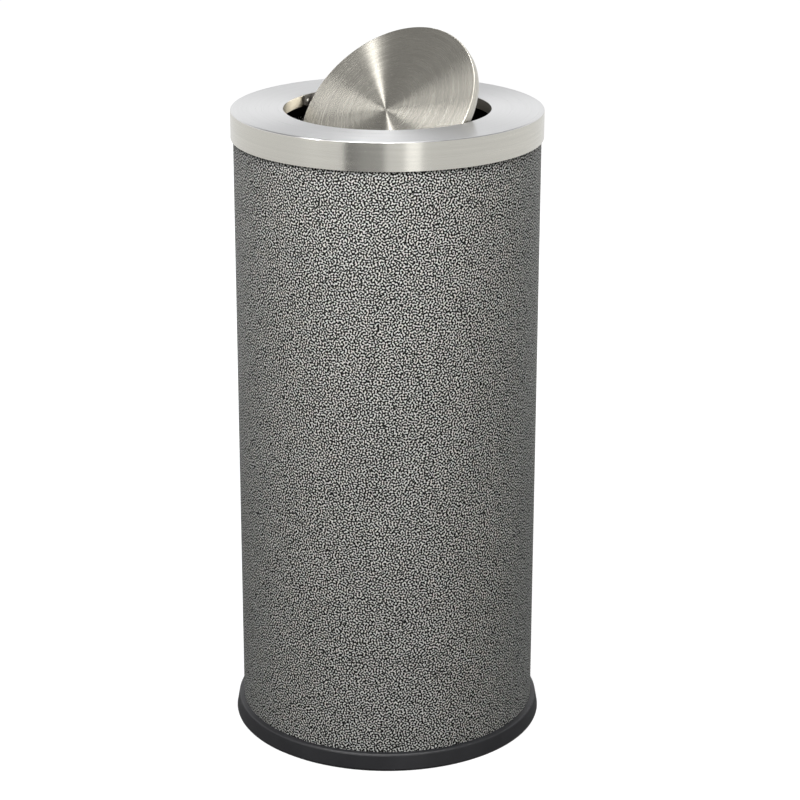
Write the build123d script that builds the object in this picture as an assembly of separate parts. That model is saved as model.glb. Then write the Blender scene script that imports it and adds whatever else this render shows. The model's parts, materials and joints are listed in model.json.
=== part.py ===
from build123d import *
import os
from math import asin, cos, degrees, radians, sin, sqrt

# A round swing-top trash can, standing on z = 0 with its axis on Z.
# Lengths are in millimetres and angles in degrees. The disc's axle lies along X,
# and at rest the disc is tilted, its +Y side up and its -Y side down.

# Painted shell
BODY_RADIUS = 187.5
SHELL_WALL = 1.0
BEAD_RADIUS = 3.0
SEAM_WIDTH = 14.0
SEAM_RIDGE_WIDTH = 2.4
SEAM_RIDGE_HEIGHT = 0.4

# Cap
CAP_HEIGHT = 796.0
CAP_WALL = 1.0
SKIRT_DEPTH = 35.0
SKIRT_GAP = 2.0
SKIRT_HEM_WIDTH = 1.1
SKIRT_HEM_HEIGHT = 4.0
CAP_EDGE_RADIUS = 1.6
LIP_DEPTH = 1.4

# Collar that lines the opening
COLLAR_WALL = 1.0
COLLAR_DEPTH = 15.4
COLLAR_FLANGE_WIDTH = 14.0
COLLAR_HEM_WIDTH = 2.0
COLLAR_HEM_HEIGHT = 2.0
COLLAR_SETBACK = 0.2
ROD_NOTCH_WIDTH = 13.0

# Locating ring under the cap
LOCATING_WALL = 1.2
LOCATING_DEPTH = 20.0
LOCATING_FLANGE_WIDTH = 14.0
LOCATING_GAP = 3.5
LOCATING_BEND_RADIUS = 1.8

# Disc
DISC_RADIUS = 121.5
DISC_WALL = 0.8
DISC_EDGE_RADIUS = 1.2
DISC_BACK_EDGE_RADIUS = 1.4
DISC_TILT = 47.0
OPENING_GAP = 4.7
RIM_STEP = 0.3
RIM_SEAM_WIDTH = 0.3
RIM_MARGIN = 1.0
NESTING_GAP = 0.2

# Axle rod, its straps, spacers and clips
ROD_RADIUS = 2.0
ROD_HEADROOM = 1.1
ROD_END_LENGTH = 2.0
RUNNING_GAP = 0.05
RIM_HOLE_GAP = 0.2
STRAP_WALL = 1.0
STRAP_LENGTH = 22.0
STRAP_FOOT_WIDTH = 10.0
STRAP_SPACING = 80.0
SPACER_WALL = 1.8
END_FLOAT = 0.4
CLIP_THICKNESS = 0.8
CLIP_SHOULDER = 2.0
CLIP_GROOVE_DEPTH = 0.4
CLIP_MOUTH = 2.6
CLIP_HEADROOM = 0.4

# Balance weight and its screws
WEIGHT_LENGTH = 150.0
WEIGHT_WIDTH = 36.0
WEIGHT_THICKNESS = 4.6
WEIGHT_GAP = 0.15
WEIGHT_SCREW_SPACING_X = 120.0
WEIGHT_SCREW_SPACING_Y = 20.0
WEIGHT_SCREW_RADIUS = 2.0
WEIGHT_SCREW_HEAD_RADIUS = 3.8
WEIGHT_SCREW_HEAD_HEIGHT = 2.0
WEIGHT_SCREW_TIP_DEPTH = 1.0

# Bearing blocks and their rivets
BLOCK_WIDTH = 30.0
BLOCK_THICKNESS = 2.9
BLOCK_FIT_GAP = 0.1
BLOCK_LIP_GAP = 0.3
BLOCK_BOTTOM_MARGIN = 1.0
BLOCK_CORNER_RADIUS = 2.5
BLOCK_BOSS_WALL = 1.55
BLOCK_BOSS_REACH = 4.5
RIVET_SPACING = 21.0
RIVET_DROP = 2.4
RIVET_RADIUS = 1.5
RIVET_HEAD_RADIUS = 2.7
RIVET_HEAD_HEIGHT = 0.9
RIVET_TAIL_RADIUS = 2.2
RIVET_TAIL_HEIGHT = 1.1
RIVET_SEAT_GAP = 0.05

# Liner
LINER_WALL = 3.0
LINER_RIM_THICKNESS = 3.0
LINER_RIM_INSET = 1.0
LINER_BEAD_GAP = 3.0
LINER_DRAFT = 10.0
LINER_FLOOR_GAP = 6.0
LINER_BOTTOM_RADIUS = 12.0
LINER_FOOT_WIDTH = 50.5
LINER_KICKUP_HEIGHT = 6.0
LINER_SEAT_GAP = 0.05
GRIP_WIDTH = 96.0
GRIP_HEIGHT = 30.0
GRIP_DROP = 40.0

# Floor pan
PAN_WALL = 1.0
PAN_FLANGE_HEIGHT = 20.0
PAN_BEND_RADIUS = 2.0
PAN_FIT_GAP = 0.2
PAN_BORDER_WIDTH = 20.3
PAN_STEP_HEIGHT = 4.0

# Foot ring
RING_HEIGHT = 22.5
RING_LEDGE_WIDTH = 6.1
RING_LEDGE_FALL = 1.3
RING_FOOT_REACH = 10.0
RING_SHOULDER_ROUNDING = 2.8
RING_FOOT_ROUNDING = 2.8
RING_WIDTH = 25.5
RING_SHELF_HEIGHT = 16.0
RING_GROOVE_FLOOR = 12.0
RING_GROOVE_GAP = 0.2
RING_WEB = 4.0
RING_OUTER_WALL = 4.2
RING_INNER_WALL = 3.5
RING_RIB_COUNT = 24
RING_RIB_THICKNESS = 2.5
RING_RIB_LIFT = 1.0

# Screws through the floor pan into the foot ring
BASE_SCREW_COUNT = 6
BASE_SCREW_RADIUS = 2.0
BASE_SCREW_HEAD_RADIUS = 3.8
BASE_SCREW_HEAD_HEIGHT = 2.4
BASE_SCREW_LENGTH = 12.0
BASE_SCREW_INSET = 8.0
BASE_BOSS_WALL = 2.6
SCREW_FIT_GAP = 0.05

# Shares that round a small edge or size a screw's socket by the piece it is on
LIP_ROUNDING_SHARE = 0.8
HEM_ROUNDING_SHARE = 0.45
LINER_ROUNDING_SHARE = 0.35
HEAD_ROUNDING_SHARE = 0.6
SOCKET_DEPTH_SHARE = 0.6
SOCKET_WIDTH_SHARE = 0.75

# How far a cutting shape runs past what it cuts
CUT_MARGIN = 1.0

# Heights that several pieces share
cap_underside = CAP_HEIGHT - CAP_WALL
rod_hole_radius = ROD_RADIUS + RUNNING_GAP
rim_hole_radius = ROD_RADIUS + RIM_HOLE_GAP
strap_outer_radius = rod_hole_radius + STRAP_WALL
clip_radius = ROD_RADIUS + CLIP_SHOULDER
pivot_height = cap_underside - clip_radius - CLIP_HEADROOM
liner_rim_underside = cap_underside - LINER_RIM_THICKNESS
shell_top = liner_rim_underside - LINER_SEAT_GAP
pan_top = RING_SHELF_HEIGHT + PAN_WALL
liner_underside = pan_top + PAN_STEP_HEIGHT + LINER_FLOOR_GAP

# Radii that several pieces share
shell_inner_radius = BODY_RADIUS - SHELL_WALL
opening_radius = DISC_RADIUS + OPENING_GAP
collar_inner_radius = opening_radius + CAP_WALL + COLLAR_SETBACK
collar_outer_radius = collar_inner_radius + COLLAR_WALL
block_outer_radius = collar_inner_radius - BLOCK_FIT_GAP
block_inner_radius = block_outer_radius - BLOCK_THICKNESS
skirt_inner_radius = BODY_RADIUS + SKIRT_GAP
cap_radius = skirt_inner_radius + CAP_WALL
liner_top_radius = BODY_RADIUS - 2 * BEAD_RADIUS - LINER_BEAD_GAP
liner_foot_radius = liner_top_radius - LINER_DRAFT
ring_inner_radius = BODY_RADIUS + RING_FOOT_REACH - RING_WIDTH
pan_radius = shell_inner_radius - PAN_FIT_GAP
pan_step_radius = pan_radius - PAN_BORDER_WIDTH
base_screw_circle = pan_radius - BASE_SCREW_INSET

# Heights on the closed disc, from the axle
face_top = ROD_RADIUS + ROD_HEADROOM + DISC_WALL
face_underside = face_top - DISC_WALL
weight_top = -strap_outer_radius - WEIGHT_GAP
weight_underside = weight_top - WEIGHT_THICKNESS
back_underside = weight_underside - DISC_WALL
face_rim_bottom = -rim_hole_radius - RIM_MARGIN


def turned(points, radii=None):
    """A solid turned about Z from an outline of (radius, height) corners, each rounded by its radius."""
    corners = [(r, 0, z) for r, z in points]
    if radii:
        outline = FilletPolyline(*corners, radius=radii, close=True)
    else:
        outline = Polyline(*corners, close=True)
    return revolve(make_face(outline), axis=Axis.Z)


def tube(inner, outer, low, high):
    """A plain ring between two radii and two heights."""
    return turned([(inner, low), (outer, low), (outer, high), (inner, high)])


def rod(radius, start, end, y=0.0, z=0.0):
    """A cylinder along X from start to end."""
    length = end - start
    centre = Location((start + length / 2, y, z), (0, 90, 0))
    return centre * Cylinder(radius, length)


def pin(radius, low, high, x=0.0, y=0.0):
    """A cylinder along Z from low to high."""
    return Pos(x, y, (low + high) / 2) * Cylinder(radius, high - low)


def block(x_span, y_span, z_span):
    """A box between two values on each axis."""
    sizes = [high - low for low, high in (x_span, y_span, z_span)]
    middle = [(high + low) / 2 for low, high in (x_span, y_span, z_span)]
    return Pos(*middle) * Box(*sizes)


def on_pivot(shape):
    """Takes a piece from the closed disc's own frame to its tilted place on the axle."""
    return Pos(0, 0, pivot_height) * (Rot(DISC_TILT, 0, 0) * shape)


def mirrored(shape):
    """The same piece on the -X side."""
    return shape.mirror(Plane.YZ)


def body_shell():
    """Rolled sheet with a curled top edge, a lap inside its back seam and a dressed ridge outside it."""
    bead_centre = shell_top - BEAD_RADIUS
    wall = tube(shell_inner_radius, BODY_RADIUS, RING_GROOVE_FLOOR, bead_centre)
    curl_outer = CenterArc((0, 0), BEAD_RADIUS, 0, 270)
    curl_inner = CenterArc((0, 0), BEAD_RADIUS - SHELL_WALL, 0, 270)
    start = Line(curl_outer @ 0, curl_inner @ 0)
    end = Line(curl_outer @ 1, curl_inner @ 1)
    section = make_face([curl_outer, start, curl_inner, end])
    at_bead = Plane(
        origin=(BODY_RADIUS - BEAD_RADIUS, 0, bead_centre), x_dir=(1, 0, 0), z_dir=(0, -1, 0)
    )
    curl = revolve(at_bead * section, axis=Axis.Z)

    lap_low = RING_SHELF_HEIGHT + PAN_FLANGE_HEIGHT + PAN_WALL
    lap_high = bead_centre - BEAD_RADIUS
    lap_ring = tube(shell_inner_radius - SHELL_WALL, shell_inner_radius, lap_low, lap_high)
    lap = lap_ring & block(
        (-SEAM_WIDTH / 2, SEAM_WIDTH / 2), (0, BODY_RADIUS), (lap_low, lap_high)
    )
    ridge_low = RING_HEIGHT
    ridge_ring = tube(shell_inner_radius, BODY_RADIUS + SEAM_RIDGE_HEIGHT, ridge_low, bead_centre)
    ridge = ridge_ring & block(
        (-SEAM_RIDGE_WIDTH / 2, SEAM_RIDGE_WIDTH / 2),
        (0, BODY_RADIUS + SEAM_RIDGE_HEIGHT),
        (ridge_low, bead_centre),
    )
    return wall + curl + lap + ridge


def floor_pan():
    """Pressed steel floor with an upturned edge, a raised middle and holes for its screws."""
    low = RING_SHELF_HEIGHT
    flange_top = low + PAN_FLANGE_HEIGHT
    step = PAN_STEP_HEIGHT
    outline = [
        (0, low + step),
        (pan_step_radius - step, low + step),
        (pan_step_radius, low),
        (pan_radius, low),
        (pan_radius, flange_top),
        (pan_radius - PAN_WALL, flange_top),
        (pan_radius - PAN_WALL, pan_top),
        (pan_step_radius, pan_top),
        (pan_step_radius - step, pan_top + step),
        (0, pan_top + step),
    ]
    bend = PAN_BEND_RADIUS
    pan = turned(outline, [0, 0, 0, bend, 0, 0, bend - PAN_WALL, 0, 0, 0])
    hole = pin(BASE_SCREW_RADIUS + SCREW_FIT_GAP, low, pan_top, x=base_screw_circle)
    for turn in PolarLocations(0, BASE_SCREW_COUNT):
        pan -= turn * hole
    return pan


def base_ring():
    """Moulded foot ring: a sloping ledge and wall outside, a groove for the shell, ribs below."""
    ledge_radius = BODY_RADIUS + RING_LEDGE_WIDTH
    foot_radius = BODY_RADIUS + RING_FOOT_REACH
    groove_outer = BODY_RADIUS + RING_GROOVE_GAP
    groove_inner = shell_inner_radius - RING_GROOVE_GAP
    channel_top = RING_GROOVE_FLOOR - RING_WEB
    channel_inner = ring_inner_radius + RING_INNER_WALL
    channel_outer = ledge_radius - RING_OUTER_WALL
    outline = [
        (foot_radius, 0),
        (ledge_radius, RING_HEIGHT - RING_LEDGE_FALL),
        (groove_outer, RING_HEIGHT),
        (groove_outer, RING_GROOVE_FLOOR),
        (groove_inner, RING_GROOVE_FLOOR),
        (groove_inner, RING_SHELF_HEIGHT),
        (ring_inner_radius, RING_SHELF_HEIGHT),
        (ring_inner_radius, 0),
        (channel_inner, 0),
        (channel_inner, channel_top),
        (channel_outer, channel_top),
        (channel_outer, 0),
    ]
    ring = turned(outline, [RING_FOOT_ROUNDING, RING_SHOULDER_ROUNDING] + [0] * 10)

    overlap = RING_WEB / 2
    rib = block(
        (channel_inner - overlap, channel_outer + overlap),
        (-RING_RIB_THICKNESS / 2, RING_RIB_THICKNESS / 2),
        (RING_RIB_LIFT, channel_top + overlap),
    )
    boss_radius = BASE_SCREW_RADIUS + BASE_BOSS_WALL
    boss = pin(boss_radius, RING_RIB_LIFT, channel_top + overlap, x=base_screw_circle)
    hole_low = pan_top - BASE_SCREW_LENGTH
    hole = pin(
        BASE_SCREW_RADIUS + SCREW_FIT_GAP, hole_low, RING_SHELF_HEIGHT, x=base_screw_circle
    )
    half_rib_turn = 180 / RING_RIB_COUNT
    for turn in PolarLocations(0, RING_RIB_COUNT, start_angle=half_rib_turn):
        ring += turn * rib
    for turn in PolarLocations(0, BASE_SCREW_COUNT):
        ring += turn * boss
    for turn in PolarLocations(0, BASE_SCREW_COUNT):
        ring -= turn * hole
    return ring


def screw(radius, head_radius, head_height, length):
    """A pan-head screw pointing down, with its head's underside at z = 0 and a hexagon socket."""
    rounding = head_height * HEAD_ROUNDING_SHARE
    head = turned(
        [(0, 0), (head_radius, 0), (head_radius, head_height), (0, head_height)],
        [0, 0, rounding, 0],
    )
    socket_depth = head_height * SOCKET_DEPTH_SHARE
    socket = extrude(RegularPolygon(radius * SOCKET_WIDTH_SHARE, 6), socket_depth)
    shank = pin(radius, -length, 0)
    return head + shank - Pos(0, 0, head_height - socket_depth) * socket


def base_ring_screws():
    """Six screws down through the floor pan into the foot ring."""
    one = screw(
        BASE_SCREW_RADIUS, BASE_SCREW_HEAD_RADIUS, BASE_SCREW_HEAD_HEIGHT, BASE_SCREW_LENGTH
    )
    places = PolarLocations(base_screw_circle, BASE_SCREW_COUNT)
    return [Pos(0, 0, pan_top) * (place * one) for place in places]


def liner_bucket():
    """Tapered plastic bucket that hangs by its flat rim from the shell's bead, with two hand grips."""
    rim_radius = BODY_RADIUS - LINER_RIM_INSET
    top_inner = liner_top_radius - LINER_WALL
    foot_inner = liner_foot_radius - LINER_WALL
    floor_top = liner_underside + LINER_WALL
    kick = liner_foot_radius - LINER_FOOT_WIDTH
    lift = LINER_KICKUP_HEIGHT
    outline = [
        (0, liner_underside + lift),
        (kick - lift, liner_underside + lift),
        (kick, liner_underside),
        (liner_foot_radius, liner_underside),
        (liner_top_radius, liner_rim_underside),
        (rim_radius, liner_rim_underside),
        (rim_radius, cap_underside),
        (top_inner, cap_underside),
        (foot_inner, floor_top),
        (kick, floor_top),
        (kick - lift, floor_top + lift),
        (0, floor_top + lift),
    ]
    bottom = LINER_BOTTOM_RADIUS
    soft = LINER_WALL * LINER_ROUNDING_SHARE
    bucket = turned(
        outline, [0, 0, 0, bottom, soft, soft, soft, soft, bottom - LINER_WALL, 0, 0, 0]
    )
    grip_height = cap_underside - GRIP_DROP - GRIP_HEIGHT / 2
    cut_start = sqrt(foot_inner**2 - (GRIP_WIDTH / 2) ** 2) - LINER_WALL
    at_start = Plane(origin=(cut_start, 0, grip_height), x_dir=(0, 1, 0), z_dir=(1, 0, 0))
    grip = extrude(at_start * SlotOverall(GRIP_WIDTH, GRIP_HEIGHT), liner_top_radius - cut_start)
    return bucket - grip - mirrored(grip)


def cap_shell():
    """One pressing: a flat top ring with a rolled inner edge, and a skirt with a folded hem."""
    skirt_bottom = CAP_HEIGHT - SKIRT_DEPTH
    hem_inner = skirt_inner_radius - SKIRT_HEM_WIDTH
    hem_top = skirt_bottom + SKIRT_HEM_HEIGHT
    outline = [
        (opening_radius, CAP_HEIGHT - LIP_DEPTH),
        (opening_radius, CAP_HEIGHT),
        (cap_radius, CAP_HEIGHT),
        (cap_radius, skirt_bottom),
        (hem_inner, skirt_bottom),
        (hem_inner, hem_top),
        (skirt_inner_radius, hem_top),
        (skirt_inner_radius, cap_underside),
        (opening_radius + CAP_WALL, cap_underside),
        (opening_radius + CAP_WALL, CAP_HEIGHT - LIP_DEPTH),
    ]
    inner_bend = max(CAP_EDGE_RADIUS - CAP_WALL, 0)
    lip_round = LIP_DEPTH * LIP_ROUNDING_SHARE
    hem_round = SKIRT_HEM_WIDTH * HEM_ROUNDING_SHARE
    radii = [0, lip_round, CAP_EDGE_RADIUS, hem_round, hem_round, 0, 0, inner_bend, 0, 0]
    return turned(outline, radii)


def opening_collar():
    """Ring that lines the opening: a flange under the cap, notched at the axle, and a hemmed wall."""
    collar_bottom = CAP_HEIGHT - COLLAR_DEPTH
    flange_radius = collar_outer_radius + COLLAR_FLANGE_WIDTH
    hem_radius = collar_outer_radius + COLLAR_HEM_WIDTH
    outline = [
        (collar_inner_radius, collar_bottom),
        (collar_inner_radius, cap_underside),
        (flange_radius, cap_underside),
        (flange_radius, cap_underside - COLLAR_WALL),
        (collar_outer_radius, cap_underside - COLLAR_WALL),
        (collar_outer_radius, collar_bottom + COLLAR_HEM_HEIGHT),
        (hem_radius, collar_bottom + COLLAR_HEM_HEIGHT),
        (hem_radius, collar_bottom),
    ]
    hem_round = COLLAR_HEM_HEIGHT * HEM_ROUNDING_SHARE
    collar = turned(outline, [hem_round, 0, 0, 0, 0, 0, hem_round, hem_round])
    notch = block(
        (collar_outer_radius, flange_radius + CAP_WALL),
        (-ROD_NOTCH_WIDTH / 2, ROD_NOTCH_WIDTH / 2),
        (cap_underside - 2 * COLLAR_WALL, cap_underside + COLLAR_WALL),
    )
    boss_hole = rod(
        boss_radius() + BLOCK_FIT_GAP,
        block_inner_radius,
        collar_outer_radius + CUT_MARGIN,
        z=pivot_height,
    )
    collar -= notch + boss_hole
    collar -= mirrored(notch + boss_hole)
    for place in rivet_places():
        collar -= place * rod(RIVET_RADIUS + SCREW_FIT_GAP, -BLOCK_THICKNESS, 2 * COLLAR_WALL)
    return collar


def locating_ring():
    """Angle ring under the cap that drops inside the liner's mouth and keeps the cap centred."""
    outer = liner_top_radius - LINER_WALL - LOCATING_GAP
    inner = outer - LOCATING_WALL
    flange_inner = inner - LOCATING_FLANGE_WIDTH
    bottom = cap_underside - LOCATING_DEPTH
    outline = [
        (flange_inner, cap_underside),
        (outer, cap_underside),
        (outer, bottom),
        (inner, bottom),
        (inner, cap_underside - LOCATING_WALL),
        (flange_inner, cap_underside - LOCATING_WALL),
    ]
    return turned(outline, [0, LOCATING_BEND_RADIUS, 0, 0, LOCATING_BEND_RADIUS - LOCATING_WALL, 0])


def boss_radius():
    """Outside of the sleeve on a bearing block."""
    return rod_hole_radius + BLOCK_BOSS_WALL


def rivet_places():
    """Where the four rivets cross the collar's inner face, each pointing outwards."""
    angle = degrees(asin(RIVET_SPACING / 2 / collar_inner_radius))
    height = pivot_height - RIVET_DROP
    turns = [angle, -angle, 180 + angle, 180 - angle]
    return [
        Location(
            (collar_inner_radius * cos(radians(a)), collar_inner_radius * sin(radians(a)), height),
            (0, 0, a),
        )
        for a in turns
    ]


def pivot_block():
    """Moulded bearing block at +X: a curved pad inside the collar and a sleeve out through it."""
    top = CAP_HEIGHT - LIP_DEPTH - BLOCK_LIP_GAP
    bottom = CAP_HEIGHT - COLLAR_DEPTH + BLOCK_BOTTOM_MARGIN
    middle = (top + bottom) / 2
    face_plane = Plane(origin=(0, 0, middle), x_dir=(0, 1, 0), z_dir=(1, 0, 0))
    outline = RectangleRounded(BLOCK_WIDTH, top - bottom, BLOCK_CORNER_RADIUS)
    pad = extrude(face_plane * outline, collar_inner_radius)
    pad &= tube(block_inner_radius, block_outer_radius, bottom, top)
    boss_end = collar_outer_radius + BLOCK_BOSS_REACH
    pad += rod(boss_radius(), block_inner_radius + BLOCK_THICKNESS / 2, boss_end, z=pivot_height)
    pad -= rod(
        rod_hole_radius, block_inner_radius - CUT_MARGIN, boss_end + CUT_MARGIN, z=pivot_height
    )
    for place in rivet_places()[:2]:
        pad -= place * rod(RIVET_RADIUS + SCREW_FIT_GAP, -2 * BLOCK_THICKNESS, COLLAR_WALL)
    return pad


def pivot_block_rivets():
    """Four rivets through the blocks and the collar, headed inside and closed over outside."""
    pad_face = -BLOCK_THICKNESS - BLOCK_FIT_GAP - RIVET_SEAT_GAP
    head = rod(RIVET_HEAD_RADIUS, pad_face - RIVET_HEAD_HEIGHT, pad_face)
    inner_edge = head.faces().sort_by(Axis.X)[0].edges()
    head = fillet(inner_edge, RIVET_HEAD_HEIGHT * HEAD_ROUNDING_SHARE)
    tail_start = COLLAR_WALL + RIVET_SEAT_GAP
    tail = rod(RIVET_TAIL_RADIUS, tail_start, tail_start + RIVET_TAIL_HEIGHT)
    shank = rod(RIVET_RADIUS, pad_face, tail_start)
    one = head + shank + tail
    return [place * one for place in rivet_places()]


def disc_face():
    """Spun pan that is the disc's face and the upper part of its rim."""
    inner = DISC_RADIUS - DISC_WALL
    outline = [
        (0, face_underside),
        (inner, face_underside),
        (inner, face_rim_bottom),
        (DISC_RADIUS, face_rim_bottom),
        (DISC_RADIUS, face_top),
        (0, face_top),
    ]
    inner_bend = max(DISC_EDGE_RADIUS - DISC_WALL, 0)
    pan = turned(outline, [0, inner_bend, 0, 0, DISC_EDGE_RADIUS, 0])
    reach = DISC_RADIUS + DISC_WALL
    return on_pivot(pan - rod(rim_hole_radius, -reach, reach))


def disc_back():
    """Pan that closes the disc: its rim steps in and nests inside the face's rim."""
    outer = DISC_RADIUS - RIM_STEP
    nested = DISC_RADIUS - DISC_WALL - NESTING_GAP
    step_top = face_rim_bottom - RIM_SEAM_WIDTH
    nest_top = face_underside - NESTING_GAP
    nest_rounding = max(DISC_EDGE_RADIUS - DISC_WALL, 0)
    outline = [
        (0, back_underside),
        (outer, back_underside),
        (outer, step_top),
        (nested, step_top),
        (nested, nest_top),
        (nested - DISC_WALL, nest_top),
        (nested - DISC_WALL, step_top - DISC_WALL),
        (outer - DISC_WALL, step_top - DISC_WALL),
        (outer - DISC_WALL, back_underside + DISC_WALL),
        (0, back_underside + DISC_WALL),
    ]
    inner_bend = max(DISC_BACK_EDGE_RADIUS - DISC_WALL, 0)
    radii = [0, DISC_BACK_EDGE_RADIUS, 0, 0, nest_rounding, 0, 0, 0, inner_bend, 0]
    pan = turned(outline, radii)
    reach = DISC_RADIUS + DISC_WALL
    pan -= rod(rim_hole_radius, -reach, reach)
    for x, y in weight_screw_places():
        pan -= pin(
            WEIGHT_SCREW_RADIUS + SCREW_FIT_GAP,
            back_underside - CUT_MARGIN,
            weight_underside + CUT_MARGIN,
            x,
            y,
        )
    return on_pivot(pan)


def rod_half_length():
    """From the disc's middle to the end of the rod, past the clip."""
    return clip_inner_face() + CLIP_THICKNESS + ROD_END_LENGTH


def clip_inner_face():
    """Where a clip starts on the rod, clear of the bearing block's sleeve."""
    return collar_outer_radius + BLOCK_BOSS_REACH + END_FLOAT


def pivot_rod():
    """Axle through the disc, with a groove near each end for its clip."""
    half = rod_half_length()
    axle = rod(ROD_RADIUS, -half, half)
    axle = chamfer(axle.edges().filter_by(GeomType.CIRCLE), CLIP_GROOVE_DEPTH)
    start = clip_inner_face()
    end = start + CLIP_THICKNESS
    groove = rod(ROD_RADIUS + CUT_MARGIN, start, end)
    groove -= rod(ROD_RADIUS - CLIP_GROOVE_DEPTH, start - CUT_MARGIN, end + CUT_MARGIN)
    axle -= groove
    axle -= mirrored(groove)
    return on_pivot(axle)


def rod_straps():
    """Three saddle straps that hold the rod against the inside of the disc's face."""
    foot_reach = strap_outer_radius + STRAP_FOOT_WIDTH
    x_span = (-STRAP_LENGTH / 2, STRAP_LENGTH / 2)
    foot = block(x_span, (-foot_reach, foot_reach), (face_underside - STRAP_WALL, face_underside))
    legs = block(x_span, (-strap_outer_radius, strap_outer_radius), (0, face_underside))
    bow = rod(strap_outer_radius, *x_span)
    room = rod(rod_hole_radius, *x_span)
    room += block(x_span, (-rod_hole_radius, rod_hole_radius), (0, face_underside))
    strap = foot + legs + bow - room
    return [on_pivot(Pos(x, 0, 0) * strap) for x in (-STRAP_SPACING, 0, STRAP_SPACING)]


def spacer():
    """Sleeve on the rod at +X that keeps the disc centred between the blocks."""
    start = DISC_RADIUS + NESTING_GAP
    end = block_inner_radius - END_FLOAT
    sleeve = rod(ROD_RADIUS + SPACER_WALL, start, end)
    return on_pivot(sleeve - rod(rod_hole_radius, start - CUT_MARGIN, end + CUT_MARGIN))


def retaining_clip():
    """Open ring snapped into the rod's groove at +X."""
    start = clip_inner_face()
    end = start + CLIP_THICKNESS
    ring = rod(clip_radius, start, end)
    ring -= rod(ROD_RADIUS - CLIP_GROOVE_DEPTH, start - CUT_MARGIN, end + CUT_MARGIN)
    mouth = block(
        (start - CUT_MARGIN, end + CUT_MARGIN),
        (-CLIP_MOUTH / 2, CLIP_MOUTH / 2),
        (-clip_radius - CUT_MARGIN, 0),
    )
    return on_pivot(ring - mouth)


def weight_screw_places():
    """Centres of the four weight screws, as (x, y) on the disc."""
    half_x = WEIGHT_SCREW_SPACING_X / 2
    half_y = WEIGHT_SCREW_SPACING_Y / 2
    return [(x, y) for x in (-half_x, half_x) for y in (-half_y, half_y)]


def balance_weight():
    """Steel bar on the inside of the disc's back, below the axle, with four tapped holes."""
    bar = block(
        (-WEIGHT_LENGTH / 2, WEIGHT_LENGTH / 2),
        (-WEIGHT_WIDTH / 2, WEIGHT_WIDTH / 2),
        (weight_underside, weight_top),
    )
    bar = chamfer(bar.edges().filter_by(Axis.Z), WEIGHT_THICKNESS / 2)
    for x, y in weight_screw_places():
        bar -= pin(
            WEIGHT_SCREW_RADIUS + SCREW_FIT_GAP,
            weight_underside - CUT_MARGIN,
            weight_top + CUT_MARGIN,
            x,
            y,
        )
    return on_pivot(bar)


def balance_weight_screws():
    """Four screws up through the disc's back into the weight."""
    length = DISC_WALL + WEIGHT_THICKNESS - WEIGHT_SCREW_TIP_DEPTH
    one = screw(
        WEIGHT_SCREW_RADIUS, WEIGHT_SCREW_HEAD_RADIUS, WEIGHT_SCREW_HEAD_HEIGHT, length
    )
    upward = Rot(180, 0, 0) * one
    return [on_pivot(Pos(x, y, back_underside) * upward) for x, y in weight_screw_places()]


def write(name, shape):
    """Saves one node, which may be a group of like solids."""
    solids = shape if isinstance(shape, list) else [shape]
    pieces = [solid for item in solids for solid in item.solids()]
    whole = pieces[0] if len(pieces) == 1 else Compound(children=pieces)
    export_step(whole, f"parts/{name}.step")


os.makedirs("parts", exist_ok=True)

right_block = pivot_block()
right_spacer = spacer()
right_clip = retaining_clip()

write("body_shell", body_shell())
write("floor_pan", floor_pan())
write("base_ring", base_ring())
write("base_ring_screws", base_ring_screws())
write("liner_bucket", liner_bucket())
write("cap_shell", cap_shell())
write("opening_collar", opening_collar())
write("locating_ring", locating_ring())
write("right_pivot_block", right_block)
write("left_pivot_block", mirrored(right_block))
write("pivot_block_rivets", pivot_block_rivets())
write("disc_face", disc_face())
write("disc_back", disc_back())
write("pivot_rod", pivot_rod())
write("rod_straps", rod_straps())
write("right_spacer", right_spacer)
write("left_spacer", mirrored(right_spacer))
write("right_retaining_clip", right_clip)
write("left_retaining_clip", mirrored(right_clip))
write("balance_weight", balance_weight())
write("balance_weight_screws", balance_weight_screws())
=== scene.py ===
import json
from math import cos, pi, radians, sin

import bpy
from mathutils import Matrix, Vector

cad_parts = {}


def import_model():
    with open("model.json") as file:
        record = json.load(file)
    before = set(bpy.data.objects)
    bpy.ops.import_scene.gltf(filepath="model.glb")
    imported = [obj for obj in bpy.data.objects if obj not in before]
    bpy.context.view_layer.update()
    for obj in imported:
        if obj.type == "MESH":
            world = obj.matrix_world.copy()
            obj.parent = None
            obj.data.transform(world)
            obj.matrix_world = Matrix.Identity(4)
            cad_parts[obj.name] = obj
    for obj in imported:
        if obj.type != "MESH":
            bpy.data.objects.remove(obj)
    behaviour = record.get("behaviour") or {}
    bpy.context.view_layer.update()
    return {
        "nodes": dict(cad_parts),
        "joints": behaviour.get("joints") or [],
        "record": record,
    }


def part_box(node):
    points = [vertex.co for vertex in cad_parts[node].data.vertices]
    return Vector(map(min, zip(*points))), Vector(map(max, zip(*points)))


# Looks for the swing-top trash can: lengths in metres, angles in degrees.
# Angles round the can are measured from the side that faces the camera, to the image's right.

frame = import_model()

# Camera, fitted to the photograph's outline
CAMERA_TURN = 42.0
CAMERA_DISTANCE = 2.9003
CAMERA_HEIGHT = 1.4179
CAMERA_PITCH = 18.976
CAMERA_LENS = 109.35
CAMERA_SHIFT_X = 0.01585

# The disc's axle and tilt, as the model is built
DISC_TILT = 47.0
swing = next(joint for joint in frame["joints"] if joint["name"] == "disc_swing")
axle = Vector(swing["pos_m"])

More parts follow.
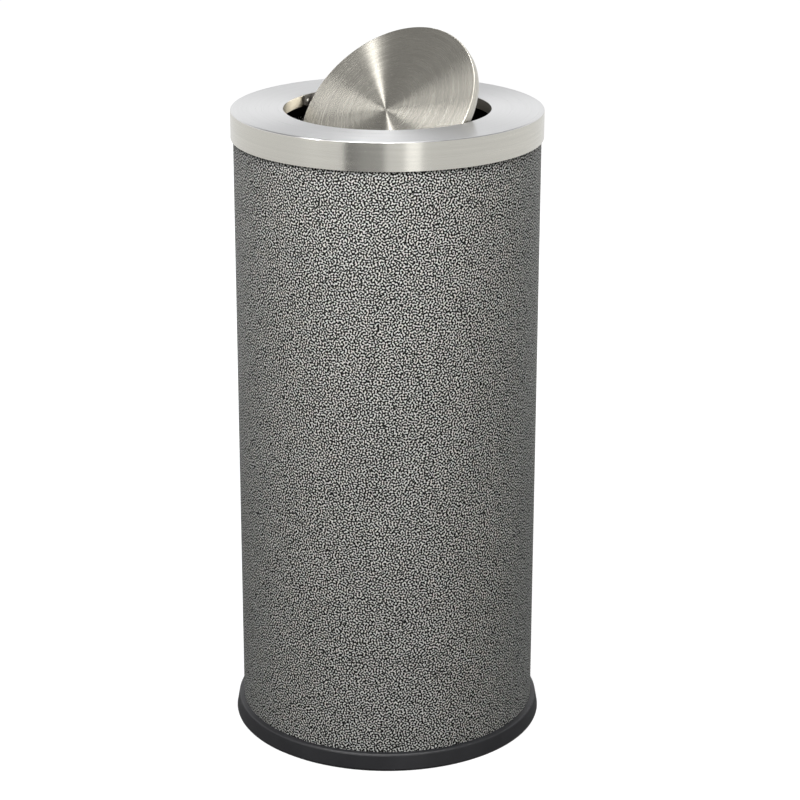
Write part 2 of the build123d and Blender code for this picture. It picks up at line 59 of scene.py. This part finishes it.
# Studio: brightness is light given off, where 1 is white
FLOOR_SIZE = 60.0
FLOOR_COLOUR = (0.22, 0.22, 0.222)
FLOOR_ROUGHNESS = 0.9
FLOOR_CLOUDS = 6.0
FLOOR_SEEN_LIFT = 0.90
FLOOR_FAR_LIFT = 0.10
FLOOR_MIRRORED_LIFT = 0.79
# The floor's glow is lower inside LIFT_START and rises to full by LIFT_END: a painted shade pool round the
# can
LIFT_START = 0.7
LIFT_END = 2.5
WORLD_LOW = 0.95
WORLD_HIGH = 0.22
WORLD_AMBIENT = 0.10
WORLD_LOW_HEIGHT = 0.38
WORLD_HIGH_HEIGHT = 0.62

# Almost all of a noise's values lie between these
NOISE_LOW = 0.3
NOISE_HIGH = 0.7


class Graph:
    """The node graph of a material or world, built by short calls."""

    def __init__(self, owner, shader="Principled BSDF"):
        self.owner = owner
        owner.use_nodes = True
        self.tree = owner.node_tree
        self.shader = self.tree.nodes[shader]

    def add(self, kind, inputs=None, **settings):
        """Adds a node; an input is a value or another node's output socket."""
        node = self.tree.nodes.new(kind)
        for key, value in settings.items():
            setattr(node, key, value)
        for key, value in (inputs or {}).items():
            self.put(value, node.inputs[key])
        return node

    def put(self, value, socket):
        """Links an output to a socket, or sets the socket's value."""
        if isinstance(value, bpy.types.NodeSocket):
            self.tree.links.new(value, socket)
        else:
            socket.default_value = value

    def shade(self, **inputs):
        """Sets the shader's own sockets, with underscores for spaces in their names."""
        for key, value in inputs.items():
            self.put(value, self.shader.inputs[key.replace("_", " ")])

    def place(self):
        """Where the point is in the part's own frame, in metres."""
        return self.add("ShaderNodeTexCoord").outputs["Object"]

    def rays(self):
        """What kind of ray looks at the surface."""
        return self.add("ShaderNodeLightPath").outputs

    def maths(self, operation, a, b=0.0, c=0.0):
        """One arithmetic step."""
        node = self.add("ShaderNodeMath", operation=operation)
        for socket, value in zip(node.inputs, (a, b, c)):
            self.put(value, socket)
        return node.outputs[0]

    def vector(self, operation, a, b=(0.0, 0.0, 0.0)):
        """One vector step."""
        node = self.add("ShaderNodeVectorMath", operation=operation)
        self.put(a, node.inputs[0])
        self.put(b, node.inputs[1])
        return node.outputs["Value" if operation in ("LENGTH", "DOT_PRODUCT") else "Vector"]

    def parts(self, vector):
        """The three components of a vector."""
        return self.add("ShaderNodeSeparateXYZ", {0: vector}).outputs

    def join(self, x, y, z):
        """A vector from three values."""
        return self.add("ShaderNodeCombineXYZ", {0: x, 1: y, 2: z}).outputs[0]

    def toned(self, base, tone):
        """A colour made lighter or darker by a value."""
        return self.vector("MULTIPLY", base, self.join(tone, tone, tone))

    def normal(self):
        """The surface's own normal."""
        return self.add("ShaderNodeNewGeometry").outputs["Normal"]

    def noise(self, vector, scale, detail=2.0, roughness=0.5):
        """Soft noise from 0 to 1."""
        inputs = {"Vector": vector, "Scale": scale, "Detail": detail, "Roughness": roughness}
        return self.add("ShaderNodeTexNoise", inputs).outputs[0]

    def spread(self, value, low, high, new_low=0.0, new_high=1.0, smooth=False):
        """Maps a range of values to another, clamped."""
        inputs = {0: value, 1: low, 2: high, 3: new_low, 4: new_high}
        kind = "SMOOTHSTEP" if smooth else "LINEAR"
        return self.add("ShaderNodeMapRange", inputs, interpolation_type=kind).outputs[0]

    def vary(self, noise, low, high):
        """Maps a noise to a range of values."""
        return self.spread(noise, NOISE_LOW, NOISE_HIGH, low, high)

    def blend(self, factor, first, second):
        """A colour between two."""
        node = self.add("ShaderNodeMix", data_type="RGBA")
        self.put(factor, node.inputs[0])
        self.put(colour(*first), node.inputs[6])
        self.put(colour(*second), node.inputs[7])
        return node.outputs[2]

    def bump(self, height, distance, strength=1.0):
        """A bumped normal from a height of 0 to 1, worth distance in metres."""
        inputs = {"Height": height, "Distance": distance, "Strength": strength}
        return self.add("ShaderNodeBump", inputs).outputs[0]


def new_material(name):
    """The node graph of a new material."""
    return Graph(bpy.data.materials.new(name))


def colour(red, green, blue):
    """A colour socket's value from linear light values."""
    return (red, green, blue, 1.0)


WHITE = colour(1.0, 1.0, 1.0)
BLACK = colour(0.0, 0.0, 0.0)

# Brushed steel

STEEL_WARM = (0.655, 0.640, 0.585)
# The cap's top ring: the same steel, painted lighter and cooler than the skirt as a painted reflection
STEEL_TOP_WITH_PAINTED_REFLECTION = (0.735, 0.738, 0.745)
STEEL_DISC = (0.615, 0.590, 0.525)
# The collar's steel is darkened and warmed to beige: a painted reflection of what surrounds it
STEEL_COLLAR_WITH_PAINTED_REFLECTION = (0.56, 0.525, 0.45)
SKIRT_ROUGHNESS = 0.25
SKIRT_ANISOTROPY = 0.85
TOP_ROUGHNESS = 0.30
TOP_EDGE_DEPTH = 0.0016

# Hairlines: how many across a metre, how much they change along their run, and their relief
HAIRLINES = 1700.0
HAIRLINE_RUN = 4.0
HAIRLINE_DEPTH = 0.0000005
# Broader bands: their spacing against the hairlines', and each one's share of the streaks
BAND_SPACING = 0.15
HAIRLINE_SHARE = 0.65
BAND_SHARE = 0.35


def round_axis(graph, place, centre, tilt):
    """Distance from an axis through centre, height along it and direction round it."""
    local = graph.vector("SUBTRACT", place, tuple(centre))
    axis = (0.0, -sin(radians(tilt)), cos(radians(tilt)))
    height = graph.vector("DOT_PRODUCT", local, axis)
    round_it = graph.vector("CROSS_PRODUCT", axis, local)
    radius = graph.vector("LENGTH", round_it)
    return radius, height, round_it


def brush(graph, base, roughness, anisotropy, centre=(0, 0, 0), tilt=0.0):
    """Steel brushed in circles about an axis: hairlines in colour, roughness and relief."""
    radius, height, round_it = round_axis(graph, graph.place(), centre, tilt)
    # Hairlines are fine across the brushing and run a long way round the axis
    across = graph.maths("MULTIPLY", radius, HAIRLINES)
    fine = graph.join(across, graph.maths("MULTIPLY", height, HAIRLINES), 0.0)
    along = graph.vector("NORMALIZE", round_it)
    stretched = graph.vector("ADD", fine, graph.vector("MULTIPLY", along, (HAIRLINE_RUN,) * 3))
    lines = graph.noise(stretched, 1.0, detail=3.0, roughness=0.6)
    coarse = graph.vector("MULTIPLY", fine, (BAND_SPACING,) * 3)
    bands = graph.noise(graph.vector("ADD", coarse, along), 1.0)
    streak = graph.maths("MULTIPLY_ADD", lines, HAIRLINE_SHARE, graph.maths("MULTIPLY", bands, BAND_SHARE))
    graph.shade(
        Base_Color=graph.toned(base, graph.vary(streak, 0.90, 1.07)),
        Metallic=1.0,
        Roughness=graph.maths("MULTIPLY", graph.vary(streak, 0.88, 1.12), roughness),
        Anisotropic=anisotropy,
        Normal=graph.bump(lines, HAIRLINE_DEPTH),
        Tangent=graph.vector("CROSS_PRODUCT", round_it, graph.normal()),
    )
    return graph


def cap_steel():
    """The cap: a brushed skirt under a smoother top ring, whose colour is painted lighter and cooler as a
    painted reflection.
    """
    graph = new_material("cap_steel")
    height = graph.parts(graph.place())[2]
    cap_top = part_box("cap_shell")[1][2]
    on_top = graph.spread(height, cap_top - TOP_EDGE_DEPTH, cap_top - TOP_EDGE_DEPTH / 4)
    # Painted reflection: the top ring gets a lighter, cooler colour than the skirt
    base = graph.blend(on_top, STEEL_WARM, STEEL_TOP_WITH_PAINTED_REFLECTION)
    roughness = graph.spread(on_top, 0.0, 1.0, SKIRT_ROUGHNESS, TOP_ROUGHNESS)
    return brush(graph, base, roughness, SKIRT_ANISOTROPY)


def brushed(name, base, roughness, anisotropy):
    """Steel brushed in circles about the can's axis."""
    return brush(new_material(name), base, roughness, anisotropy)


def disc_brushed(name, base, roughness, anisotropy):
    """Steel brushed in circles about the middle of the tilted disc."""
    return brush(new_material(name), base, roughness, anisotropy, centre=axle, tilt=DISC_TILT)


# Hammered paint

VEIN_SPACING = 0.0034
VEIN_WAVES = 9
VEIN_WANDER = 11.0
VEIN_WANDER_SCALE = 120.0
VEIN_START = -0.2
VEIN_FULL = 1.0
VEIN_RELIEF = 0.0002
# Moves each three waves' noise away from the last three's
WANDER_STEP = (0.37, 0.21, 0.5)
PAINT_DARK = (0.016, 0.0157, 0.0145)
PAINT_SILVER = (0.86, 0.872, 0.835)


def unrolled(graph, place):
    """The shell's sheet laid flat, cut along its back seam: along it, up it."""
    x, y, z = graph.parts(place)
    turn = graph.maths("ARCTAN2", x, graph.maths("MULTIPLY", y, -1.0))
    low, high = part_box("body_shell")
    radius = (high[0] - low[0]) / 2
    reach = graph.vector("LENGTH", graph.join(x, y, 0.0))
    # Where the sheet curls inwards, the way along it goes on
    height = graph.maths("SUBTRACT", z, graph.maths("SUBTRACT", reach, radius))
    return graph.join(graph.maths("MULTIPLY", turn, radius), height, 0.0)


def veins(graph, sheet):
    """A maze of veins: waves of one length, evenly turned, whose phases wander with place."""
    rate = 2 * pi / VEIN_SPACING
    total = 0.0
    for first in range(0, VEIN_WAVES, 3):
        moved = graph.vector("ADD", sheet, tuple(step * first for step in WANDER_STEP))
        inputs = {"Vector": moved, "Scale": VEIN_WANDER_SCALE, "Detail": 0.0}
        drift = graph.add("ShaderNodeTexNoise", inputs).outputs["Color"]
        for index, phase in enumerate(graph.parts(drift)):
            turn = pi * (first + index + 0.5) / VEIN_WAVES
            run = graph.vector("DOT_PRODUCT", sheet, (cos(turn) * rate, sin(turn) * rate, 0.0))
            wave = graph.maths("SINE", graph.maths("MULTIPLY_ADD", phase, VEIN_WANDER, run))
            total = graph.maths("ADD", wave, total)
    return graph.maths("DIVIDE", total, (VEIN_WAVES / 2) ** 0.5)


def hammered_paint():
    """Silver veins on near-black, raised a little, with a satin finish."""
    graph = new_material("hammered_paint")
    field = veins(graph, unrolled(graph, graph.place()))
    vein = graph.spread(field, VEIN_START, VEIN_FULL, smooth=True)
    graph.shade(
        Base_Color=graph.blend(vein, PAINT_DARK, PAINT_SILVER),
        Metallic=graph.spread(vein, 0.0, 1.0, 0.0, 0.04),
        Roughness=graph.spread(vein, 0.0, 1.0, 0.50, 0.55),
        Specular_IOR_Level=0.08,
        Normal=graph.bump(vein, VEIN_RELIEF, 0.5),
    )
    return graph


# Plastic and small metal parts

FOOT_BLACK = (0.022, 0.022, 0.025)
LINER_BLACK = (0.008, 0.008, 0.009)
BEARING_BLACK = (0.075, 0.068, 0.060)
GALVANISED_GREY = (0.50, 0.515, 0.53)
ZINC_GREY = (0.60, 0.60, 0.585)
# Features to a metre
PLASTIC_GRAIN = 1400.0
PLASTIC_FLOW = 25.0
SPANGLES = 140.0
ZINC_CLOUDS = 60.0
TURNING_MARKS = 2200.0


def moulded_plastic(name, base, roughness):
    """Black moulded plastic with a fine spark-eroded grain and faint flow marks."""
    graph = new_material(name)
    place = graph.place()
    fine = graph.noise(place, PLASTIC_GRAIN)
    broad = graph.noise(place, PLASTIC_FLOW)
    graph.shade(
        Base_Color=graph.toned(base, graph.vary(broad, 0.9, 1.12)),
        Roughness=graph.vary(broad, roughness * 0.92, roughness * 1.08),
        Normal=graph.bump(fine, 0.00006, 0.5),
    )
    return graph


def galvanised():
    """Zinc coat with its crystal spangle."""
    graph = new_material("galvanised_steel")
    place = graph.place()
    cells = graph.add("ShaderNodeTexVoronoi", {"Vector": place, "Scale": SPANGLES})
    spangle = graph.parts(cells.outputs["Color"])[0]
    cloud = graph.noise(place, ZINC_CLOUDS)
    facet_roughness = graph.spread(spangle, 0.0, 1.0, 0.25, 0.4)
    graph.shade(
        Base_Color=graph.toned(GALVANISED_GREY, graph.spread(spangle, 0.0, 1.0, 0.78, 1.1)),
        Metallic=1.0,
        Roughness=graph.maths("MULTIPLY_ADD", cloud, 0.25, facet_roughness),
        Normal=graph.bump(cloud, 0.00005),
    )
    return graph


def zinc():
    """Bright zinc plating with fine turning marks."""
    graph = new_material("hardware")
    fine = graph.noise(graph.place(), TURNING_MARKS)
    graph.shade(
        Base_Color=graph.toned(ZINC_GREY, graph.vary(fine, 0.9, 1.05)),
        Metallic=1.0,
        Roughness=graph.vary(fine, 0.24, 0.36),
        Normal=graph.bump(fine, 0.00001),
    )
    return graph


def dress(finishes):
    """Gives every CAD node its own material, by the slot the record names for it."""
    for row in frame["record"]["subparts"]:
        for slot in frame["nodes"][row["node"]].material_slots:
            slot.material = finishes[row["material_slot"]].owner


dress(
    {
        "hammered_paint": hammered_paint(),
        "galvanised_steel": galvanised(),
        "foot_plastic": moulded_plastic("foot_plastic", FOOT_BLACK, 0.42),
        "liner_plastic": moulded_plastic("liner_plastic", LINER_BLACK, 0.3),
        "cap_steel": cap_steel(),
        # The collar's colour holds a painted beige reflection
        "collar_steel": brushed("collar_steel", STEEL_COLLAR_WITH_PAINTED_REFLECTION, 0.36, 0.6),
        "disc_steel": disc_brushed("disc_steel", STEEL_DISC, 0.26, 1.0),
        "disc_back_steel": disc_brushed("disc_back_steel", STEEL_WARM, 0.45, 0.3),
        "bearing_plastic": moulded_plastic("bearing_plastic", BEARING_BLACK, 0.45),
        "hardware": zinc(),
    }
)


# Studio

def around(turn, distance, height):
    """A point at an angle round the can from the camera's side, to the image's right."""
    angle = radians(CAMERA_TURN + turn)
    return Vector((distance * sin(angle), -distance * cos(angle), height))


def camera():
    """The photograph's viewpoint."""
    data = bpy.data.cameras.new("camera")
    data.lens = CAMERA_LENS
    data.shift_x = CAMERA_SHIFT_X
    item = bpy.data.objects.new("camera", data)
    item.location = around(0.0, CAMERA_DISTANCE, CAMERA_HEIGHT)
    item.rotation_euler = (radians(90.0 - CAMERA_PITCH), 0.0, radians(CAMERA_TURN))
    bpy.context.scene.collection.objects.link(item)
    bpy.context.scene.camera = item


def softbox(name, turn, rise, distance, size, brightness, aim, along, lights="all"):
    """A flat light that faces aim from a turn and rise, its width laid along a direction.

    It lights all surfaces, or only the metal's reflections, or only what is dull.
    """
    width, length = size
    data = bpy.data.lights.new(name, "AREA")
    data.shape = "RECTANGLE"
    data.size = width
    data.size_y = length
    data.energy = 4 * width * length * brightness
    item = bpy.data.objects.new(name, data)
    flat = distance * cos(radians(rise))
    item.location = aim + around(turn, flat, distance * sin(radians(rise)))
    back = (item.location - aim).normalized()
    side = (along - along.dot(back) * back).normalized()
    item.rotation_euler = Matrix((side, back.cross(side), back)).transposed().to_euler()
    item.visible_camera = False
    item.visible_diffuse = lights in ("all", "dull")
    item.visible_glossy = lights in ("all", "metal")
    bpy.context.scene.collection.objects.link(item)


def sheet(name, corners):
    """A flat four-cornered object and its new material's node graph."""
    mesh = bpy.data.meshes.new(name)
    mesh.from_pydata(corners, [], [(0, 1, 2, 3)])
    item = bpy.data.objects.new(name, mesh)
    bpy.context.scene.collection.objects.link(item)
    graph = new_material(name)
    mesh.materials.append(graph.owner)
    return item, graph


def flag(name, turn, distance, width, height, left, right):
    """A dull upright card that only the metal mirrors, between two greys from left to right."""
    half = width / 2
    item, graph = sheet(name, [(-half, 0, 0), (half, 0, 0), (half, 0, height), (-half, 0, height)])
    item.location = around(turn, distance, 0.0)
    item.rotation_euler = (0.0, 0.0, radians(CAMERA_TURN + turn))
    for kind in ("camera", "diffuse", "shadow", "transmission", "volume_scatter"):
        setattr(item, "visible_" + kind, False)
    across = graph.parts(graph.place())[0]
    grey = graph.spread(across, -half, half, left, right)
    graph.shade(
        Base_Color=BLACK,
        Specular_IOR_Level=0.0,
        Emission_Color=graph.join(grey, grey, grey),
        Emission_Strength=1.0,
    )


def floor():
    """A wide pale floor that keeps the can's shadow, and shows white to the camera and to metal away from
    the can, with a painted shade pool close round it.
    """
    half = FLOOR_SIZE / 2
    item, graph = sheet("floor", [(-half, -half, 0), (half, -half, 0), (half, half, 0), (-half, half, 0)])
    place = graph.place()
    rays = graph.rays()
    # Painted shade: the floor glows less near the can's middle, a pool of painted shadow seen by the
    # camera and by metal
    clear_of_painted_shade = graph.spread(graph.vector("LENGTH", place), LIFT_START, LIFT_END, smooth=True)
    clear_of_painted_shade_glossy = graph.maths("MULTIPLY", rays["Is Glossy Ray"], clear_of_painted_shade)
    mirrored_lift = graph.maths("MULTIPLY", clear_of_painted_shade_glossy, FLOOR_MIRRORED_LIFT)
    seen_lift = graph.maths("MULTIPLY_ADD", clear_of_painted_shade, FLOOR_FAR_LIFT, FLOOR_SEEN_LIFT)
    graph.shade(
        Base_Color=graph.toned(FLOOR_COLOUR, graph.vary(graph.noise(place, FLOOR_CLOUDS), 0.99, 1.0)),
        Roughness=FLOOR_ROUGHNESS,
        Specular_IOR_Level=0.0,
        Emission_Color=WHITE,
        Emission_Strength=graph.maths("MULTIPLY_ADD", rays["Is Camera Ray"], seen_lift, mirrored_lift),
    )


def world():
    """White low down and greyer overhead to metal, white to the camera, dim to dull surfaces."""
    item = bpy.data.worlds.new("studio")
    graph = Graph(item, "Background")
    heading = graph.add("ShaderNodeTexCoord").outputs["Generated"]
    rise = graph.parts(heading)[2]
    fade = graph.spread(rise, WORLD_LOW_HEIGHT, WORLD_HIGH_HEIGHT, WORLD_LOW, WORLD_HIGH, smooth=True)
    rays = graph.rays()
    mirrored = graph.maths("MULTIPLY", rays["Is Glossy Ray"], fade)
    shown = graph.maths("MAXIMUM", rays["Is Camera Ray"], mirrored)
    graph.shade(Color=WHITE, Strength=graph.maths("MAXIMUM", shown, WORLD_AMBIENT))
    bpy.context.scene.world = item


def lamps():
    """Soft lights round the can: a turn, a rise and a distance, then size and brightness."""
    middle = Vector((0.0, 0.0, 0.5))
    upright = Vector((0.0, 0.0, 1.0))
    sideways = Vector((1.0, 0.0, 0.0))
    # Laid so that it makes one thin streak across the disc
    streak = Vector((-0.653, -0.261, 0.710))
    softbox("overhead_bank", -18.0, 61.0, 2.4, (1.7, 1.0), 6.0, axle, sideways, "metal")
    softbox("top_scrim", 0.0, 87.0, 2.2, (1.5, 1.0), 2.6, axle, sideways)
    softbox("left_strip", -60.0, 36.0, 3.0, (0.7, 0.045), 190.0, axle, streak, "metal")
    softbox("front_scrim", -20.0, 34.0, 3.2, (1.1, 1.1), 8.0, middle, upright, "metal")
    softbox("body_key", -7.0, 42.0, 2.0, (0.9, 0.9), 13.0, axle, upright, "dull")
    softbox("right_strip", 18.0, 8.0, 3.2, (1.6, 0.6), 1.2, middle, upright, "metal")
    softbox("rear_scrim", 165.0, 52.0, 3.0, (1.3, 1.3), 0.9, middle, upright, "metal")
    softbox("rear_right", 134.0, 28.0, 3.0, (1.2, 1.2), 5.5, middle, upright, "dull")
    softbox("rear_left", -142.0, 28.0, 3.0, (1.2, 1.2), 3.6, middle, upright, "dull")


camera()
floor()
world()
lamps()
# Its mirror image is the dark band on the cap's skirt
flag("gap", turn=-15.0, distance=1.2, width=0.58, height=2.2, left=0.02, right=0.35)
bpy.context.scene.view_settings.view_transform = "Standard"
